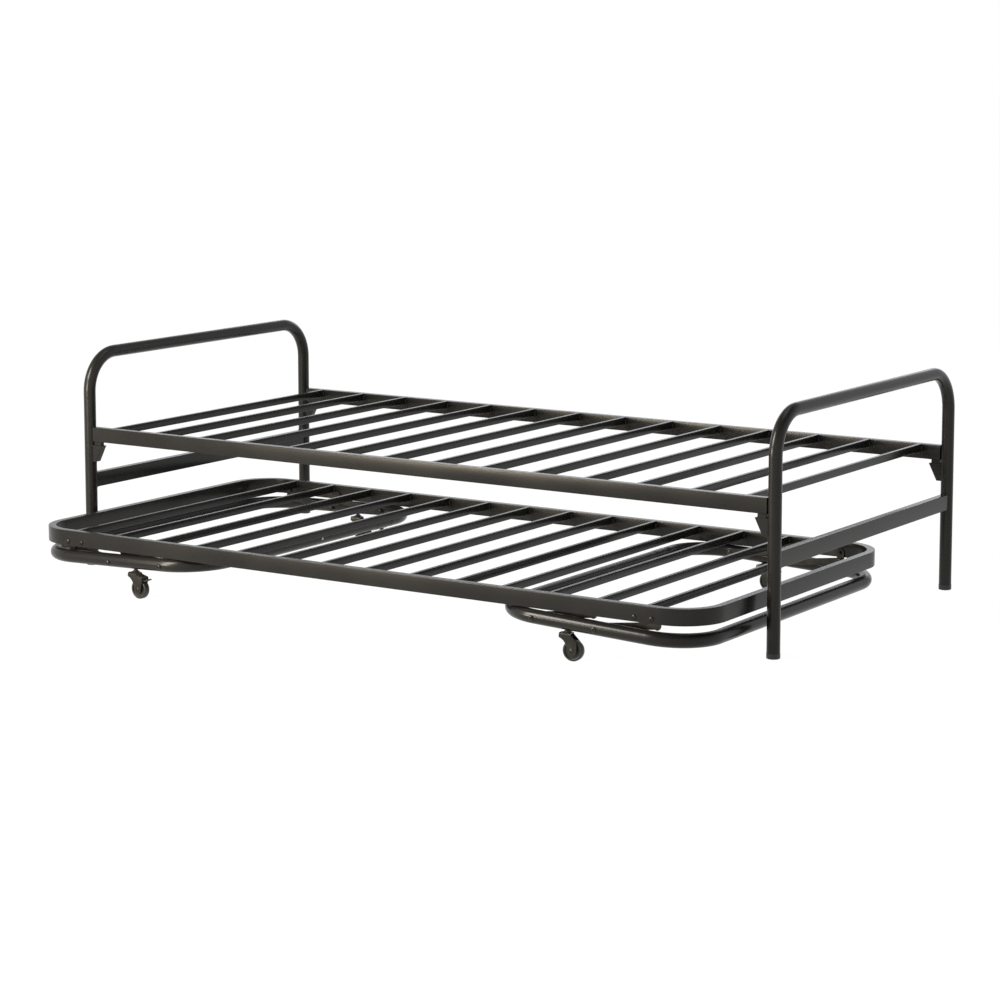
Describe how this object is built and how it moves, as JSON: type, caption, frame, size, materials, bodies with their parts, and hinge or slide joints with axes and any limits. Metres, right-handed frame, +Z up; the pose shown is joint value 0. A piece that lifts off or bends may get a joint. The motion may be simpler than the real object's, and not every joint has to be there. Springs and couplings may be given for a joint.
{
  "type": "trundle_bed",
  "caption": "Satin black tubular steel day bed with hoop ends and slats over a roll-out trundle frame on swivel casters with a pop-up link lift",
  "frame": {"origin": "On the floor under the middle of the whole, bed and pulled-out trundle together", "axes": "+X along the bed to the right hoop, +Y to the back (wall side), +Z up"},
  "size_m": [2.0944, 1.2538, 0.584],
  "materials": {
    "satin_black_steel": "satin black powder coat on welded steel tube",
    "dark_zinc": "black plated steel pressings and rivets",
    "wheel_nylon": "moulded dark grey nylon tread",
    "black_plastic": "moulded black plastic"
  },
  "bodies": {
    "day_bed": {"hoop_left": "satin_black_steel", "hoop_right": "satin_black_steel", "crossbar_left": "satin_black_steel", "crossbar_right": "satin_black_steel", "side_rail_front": "satin_black_steel", "side_rail_back": "satin_black_steel", "bed_slat_01": "satin_black_steel", "bed_slat_02": "satin_black_steel", "bed_slat_03": "satin_black_steel", "bed_slat_04": "satin_black_steel", "bed_slat_05": "satin_black_steel", "bed_slat_06": "satin_black_steel", "bed_slat_07": "satin_black_steel", "bed_slat_08": "satin_black_steel", "bed_slat_09": "satin_black_steel", "bed_slat_10": "satin_black_steel", "bed_slat_11": "satin_black_steel", "bed_slat_12": "satin_black_steel", "bed_slat_13": "satin_black_steel", "bed_slat_14": "satin_black_steel"},
    "base_left": {"base_loop_left": "satin_black_steel"},
    "link_outer_front_left": {"link_outer_front_left": "dark_zinc"},
    "trundle_frame": {"trundle_ring": "satin_black_steel", "trundle_slat_01": "satin_black_steel", "trundle_slat_02": "satin_black_steel", "trundle_slat_03": "satin_black_steel", "trundle_slat_04": "satin_black_steel", "trundle_slat_05": "satin_black_steel", "trundle_slat_06": "satin_black_steel", "trundle_slat_07": "satin_black_steel", "trundle_slat_08": "satin_black_steel", "trundle_slat_09": "satin_black_steel", "trundle_slat_10": "satin_black_steel", "trundle_slat_11": "satin_black_steel", "trundle_slat_12": "satin_black_steel", "trundle_slat_13": "satin_black_steel", "trundle_slat_14": "satin_black_steel", "link_bracket_front_left": "dark_zinc", "link_bracket_back_left": "dark_zinc", "link_bracket_front_right": "dark_zinc", "link_bracket_back_right": "dark_zinc"},
    "base_right": {"base_loop_right": "satin_black_steel"},
    "link_inner_front_left": {"link_inner_front_left": "dark_zinc"},
    "link_outer_back_left": {"link_outer_back_left": "dark_zinc"},
    "link_inner_back_left": {"link_inner_back_left": "dark_zinc"},
    "link_outer_front_right": {"link_outer_front_right": "dark_zinc"},
    "link_inner_front_right": {"link_inner_front_right": "dark_zinc"},
    "link_outer_back_right": {"link_outer_back_right": "dark_zinc"},
    "link_inner_back_right": {"link_inner_back_right": "dark_zinc"},
    "caster_fork_front_left": {"caster_fork_front_left": "dark_zinc"},
    "caster_wheel_front_left": {"caster_wheel_front_left": "wheel_nylon"},
    "brake_pedal_front_left": {"brake_pedal_front_left": "black_plastic"},
    "caster_fork_back_left": {"caster_fork_back_left": "dark_zinc"},
    "caster_wheel_back_left": {"caster_wheel_back_left": "wheel_nylon"},
    "caster_fork_front_right": {"caster_fork_front_right": "dark_zinc"},
    "caster_wheel_front_right": {"caster_wheel_front_right": "wheel_nylon"},
    "caster_fork_back_right": {"caster_fork_back_right": "dark_zinc"},
    "caster_wheel_back_right": {"caster_wheel_back_right": "wheel_nylon"},
    "brake_pedal_back_right": {"brake_pedal_back_right": "black_plastic"}
  },
  "joints": [
    {"name": "trundle_roll", "type": "slide", "parent": "day_bed", "child": "base_left", "axis": [0, -1, 0], "range_m": [-0.268, 0.7]},
    {"name": "pop_up", "type": "hinge", "parent": "base_left", "child": "link_outer_front_left", "pos_m": [-0.723, -0.60675, 0.08479], "axis": [0, 1, 0], "range_deg": [0, 15]},
    {"name": "frame_on_outer_link_left", "type": "hinge", "parent": "link_outer_front_left", "child": "trundle_frame", "pos_m": [-0.86986, -0.60675, 0.10308], "axis": [0, 1, 0], "range_deg": [-15, 0]},
    {"name": "inner_link_front_left", "type": "hinge", "parent": "base_left", "child": "link_inner_front_left", "pos_m": [-0.5545, -0.60675, 0.09215], "axis": [0, 1, 0], "range_deg": [0, 15]},
    {"name": "outer_link_back_left", "type": "hinge", "parent": "base_left", "child": "link_outer_back_left", "pos_m": [-0.723, 0.34805, 0.08479], "axis": [0, 1, 0], "range_deg": [0, 15]},
    {"name": "inner_link_back_left", "type": "hinge", "parent": "base_left", "child": "link_inner_back_left", "pos_m": [-0.5545, 0.34805, 0.09215], "axis": [0, 1, 0], "range_deg": [0, 15]},
    {"name": "outer_link_front_right", "type": "hinge", "parent": "trundle_frame", "child": "link_outer_front_right", "pos_m": [0.86986, -0.60675, 0.10308], "axis": [0, 1, 0], "range_deg": [-15, 0]},
    {"name": "inner_link_front_right", "type": "hinge", "parent": "trundle_frame", "child": "link_inner_front_right", "pos_m": [0.70137, -0.60675, 0.11044], "axis": [0, 1, 0], "range_deg": [-15, 0]},
    {"name": "outer_link_back_right", "type": "hinge", "parent": "trundle_frame", "child": "link_outer_back_right", "pos_m": [0.86986, 0.34805, 0.10308], "axis": [0, 1, 0], "range_deg": [-15, 0]},
    {"name": "inner_link_back_right", "type": "hinge", "parent": "trundle_frame", "child": "link_inner_back_right", "pos_m": [0.70137, 0.34805, 0.11044], "axis": [0, 1, 0], "range_deg": [-15, 0]},
    {"name": "base_on_outer_link_right", "type": "hinge", "parent": "link_outer_front_right", "child": "base_right", "pos_m": [0.723, -0.60675, 0.08479], "axis": [0, 1, 0], "range_deg": [0, 15]},
    {"name": "swivel_front_left", "type": "hinge", "parent": "base_left", "child": "caster_fork_front_left", "pos_m": [-0.644, -0.60675, 0.066], "axis": [0, 0, 1], "continuous": true},
    {"name": "wheel_front_left", "type": "hinge", "parent": "caster_fork_front_left", "child": "caster_wheel_front_left", "pos_m": [-0.62904, -0.6078, 0.025], "axis": [0.0698, 0.9976, 0], "continuous": true},
    {"name": "brake_front_left", "type": "hinge", "parent": "caster_fork_front_left", "child": "brake_pedal_front_left", "pos_m": [-0.61507, -0.60877, 0.053], "axis": [0.0698, 0.9976, 0], "range_deg": [0, 20]},
    {"name": "swivel_back_left", "type": "hinge", "parent": "base_left", "child": "caster_fork_back_left", "pos_m": [-0.644, 0.34805, 0.066], "axis": [0, 0, 1], "continuous": true},
    {"name": "wheel_back_left", "type": "hinge", "parent": "caster_fork_back_left", "child": "caster_wheel_back_left", "pos_m": [-0.62906, 0.34936, 0.025], "axis": [-0.0872, 0.9962, 0], "continuous": true},
    {"name": "swivel_front_right", "type": "hinge", "parent": "base_right", "child": "caster_fork_front_right", "pos_m": [0.644, -0.60675, 0.066], "axis": [0, 0, 1], "continuous": true},
    {"name": "wheel_front_right", "type": "hinge", "parent": "caster_fork_front_right", "child": "caster_wheel_front_right", "pos_m": [0.65885, -0.60466, 0.025], "axis": [-0.1392, 0.9903, 0], "continuous": true},
    {"name": "swivel_back_right", "type": "hinge", "parent": "base_right", "child": "caster_fork_back_right", "pos_m": [0.644, 0.34805, 0.066], "axis": [0, 0, 1], "continuous": true},
    {"name": "wheel_back_right", "type": "hinge", "parent": "caster_fork_back_right", "child": "caster_wheel_back_right", "pos_m": [0.65898, 0.34726, 0.025], "axis": [0.0523, 0.9986, 0], "continuous": true},
    {"name": "brake_back_right", "type": "hinge", "parent": "caster_fork_back_right", "child": "brake_pedal_back_right", "pos_m": [0.67296, 0.34653, 0.053], "axis": [0.0523, 0.9986, 0], "range_deg": [0, 20]}
  ],
  "couplings": [
    {"joint": "frame_on_outer_link_left", "follows": "pop_up", "ratio": -1},
    {"joint": "inner_link_front_left", "follows": "pop_up", "ratio": 1},
    {"joint": "outer_link_back_left", "follows": "pop_up", "ratio": 1},
    {"joint": "inner_link_back_left", "follows": "pop_up", "ratio": 1},
    {"joint": "outer_link_front_right", "follows": "pop_up", "ratio": -1},
    {"joint": "inner_link_front_right", "follows": "pop_up", "ratio": -1},
    {"joint": "outer_link_back_right", "follows": "pop_up", "ratio": -1},
    {"joint": "inner_link_back_right", "follows": "pop_up", "ratio": -1},
    {"joint": "base_on_outer_link_right", "follows": "pop_up", "ratio": 1}
  ]
}
